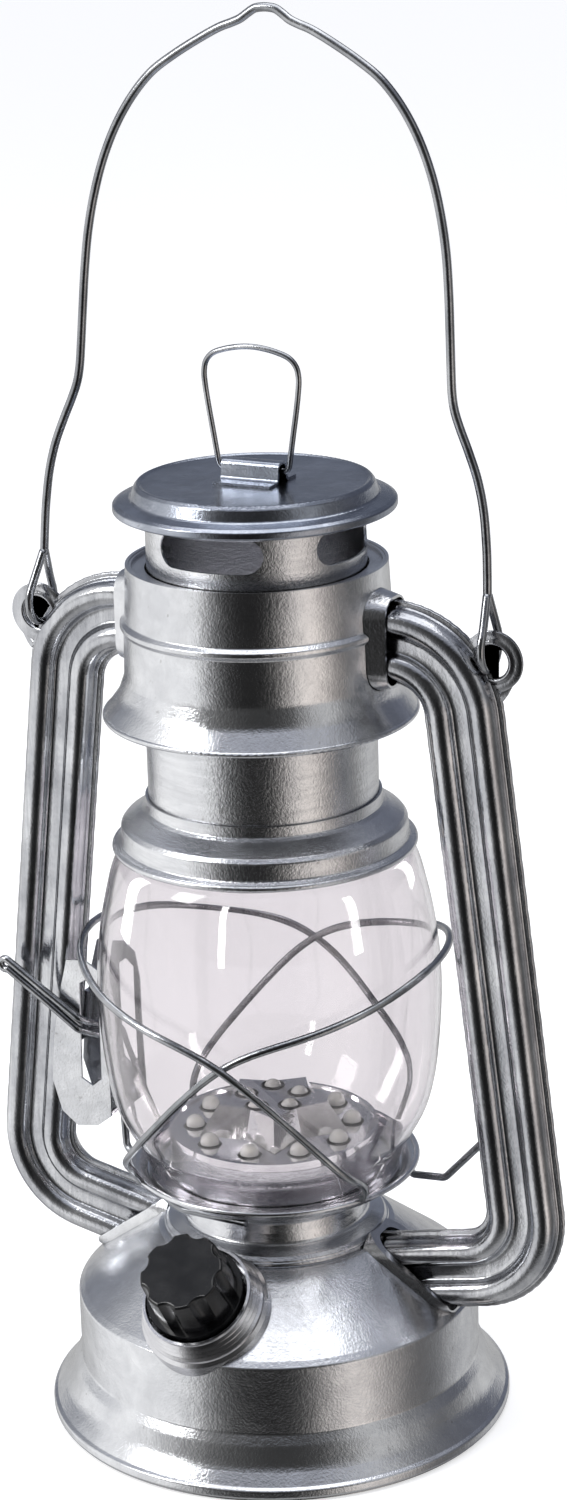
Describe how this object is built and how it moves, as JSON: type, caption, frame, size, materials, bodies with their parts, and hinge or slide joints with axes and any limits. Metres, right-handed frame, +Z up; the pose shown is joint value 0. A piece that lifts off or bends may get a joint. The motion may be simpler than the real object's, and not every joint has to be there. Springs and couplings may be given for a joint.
{
  "type": "battery hurricane lantern",
  "caption": "Hurricane-style battery lantern with side tubes, glass globe in a wire guard, lift lever, spring-down hood, dimmer knob and swinging bail.",
  "frame": {"origin": "centre of the foot on its standing plane", "axes": "+Z up, the dimmer knob is at the front (-Y), the side tubes lie in the XZ plane and the lift lever comes out past the -X tube"},
  "size_m": [0.1666, 0.1246, 0.3706],
  "materials": {
    "sheet_metal": "bright plated sheet steel, satin with soft reflections",
    "cap_metal": "plated sheet steel, satin, slightly blue",
    "polished_metal": "bright plated",
    "wire_steel": "plated steel wire",
    "globe_glass": "clear",
    "reflector": "vacuum metallised, mirror bright",
    "led_lens": "clear domed lens, unlit",
    "black_plastic": "moulded, satin",
    "board": "lacquered circuit board",
    "cell_sleeve": "plain printed sleeve",
    "contact_brass": "plated spring brass",
    "lead_insulation": "PVC insulation"
  },
  "bodies": {
    "frame": {"base_shell": "sheet_metal", "bottom_plate": "sheet_metal", "door_hinge_pin": "wire_steel", "battery_box": "black_plastic", "battery_cell_a": "cell_sleeve", "battery_cell_b": "cell_sleeve", "contact_plates": "contact_brass", "contact_spring": "wire_steel", "dimmer_pot": "black_plastic", "pot_nut": "wire_steel", "knob_collar": "polished_metal", "lamp_cup": "sheet_metal", "led_board": "board", "reflector_disc": "reflector", "reflector_hub": "reflector", "leds": "led_lens", "lead_wires": "lead_insulation", "upper_ferrules": "sheet_metal", "lower_ferrules": "sheet_metal", "canopy_band": "sheet_metal", "canopy_plate": "sheet_metal", "lever_bracket": "sheet_metal", "tube_left_front": "sheet_metal", "tube_left_back": "sheet_metal", "tube_right_front": "sheet_metal", "tube_right_back": "sheet_metal"},
    "battery_hatch": {"battery_door": "black_plastic", "door_screw": "wire_steel"},
    "dimmer_knob": {"knob": "black_plastic", "knob_shaft": "wire_steel"},
    "globe_carriage": {"globe_plate": "sheet_metal", "globe": "globe_glass", "guard_wire_a": "wire_steel", "guard_wire_b": "wire_steel"},
    "lever": {"lift_lever": "wire_steel"},
    "hood": {"hood_bell": "sheet_metal", "chimney_tube": "sheet_metal", "spring_seat": "sheet_metal", "vent_band": "sheet_metal", "cap": "cap_metal", "cap_strap": "cap_metal", "hood_spring": "wire_steel"},
    "ring": {"lift_ring": "wire_steel"},
    "handle": {"bail": "wire_steel"}
  },
  "joints": [
    {"name": "bail_swing", "type": "hinge", "parent": "frame", "child": "handle", "pos_m": [0, 0, 0.217], "axis": [1, 0, 0], "range_deg": [-118, 128]},
    {"name": "lever_swing", "type": "hinge", "parent": "frame", "child": "lever", "pos_m": [0.061, 0, 0.084], "axis": [0, 1, 0], "range_deg": [0, 4]},
    {"name": "globe_lift", "type": "slide", "parent": "frame", "child": "globe_carriage", "axis": [0, 0, 1], "range_m": [0, 0.0069]},
    {"name": "hood_lift", "type": "slide", "parent": "globe_carriage", "child": "hood", "axis": [0, 0, 1], "range_m": [0, 0.012], "stiffness_N_per_m": 150, "springref_m": -0.02, "deforming": ["hood_spring"]},
    {"name": "ring_fold", "type": "hinge", "parent": "hood", "child": "ring", "pos_m": [0, 0, 0.2567], "axis": [1, 0, 0], "range_deg": [-85, 85]},
    {"name": "dimmer_turn", "type": "hinge", "parent": "frame", "child": "dimmer_knob", "pos_m": [0, -0.0417, 0.0426], "axis": [0, -0.5938, 0.8046], "range_deg": [0, 280]},
    {"name": "hatch_open", "type": "hinge", "parent": "frame", "child": "battery_hatch", "pos_m": [0, 0.0402, 0.0022], "axis": [1, 0, 0], "range_deg": [0, 100]}
  ],
  "couplings": [
    {"joint": "globe_lift", "follows": "lever_swing", "m_per_rad": 0.0985}
  ]
}
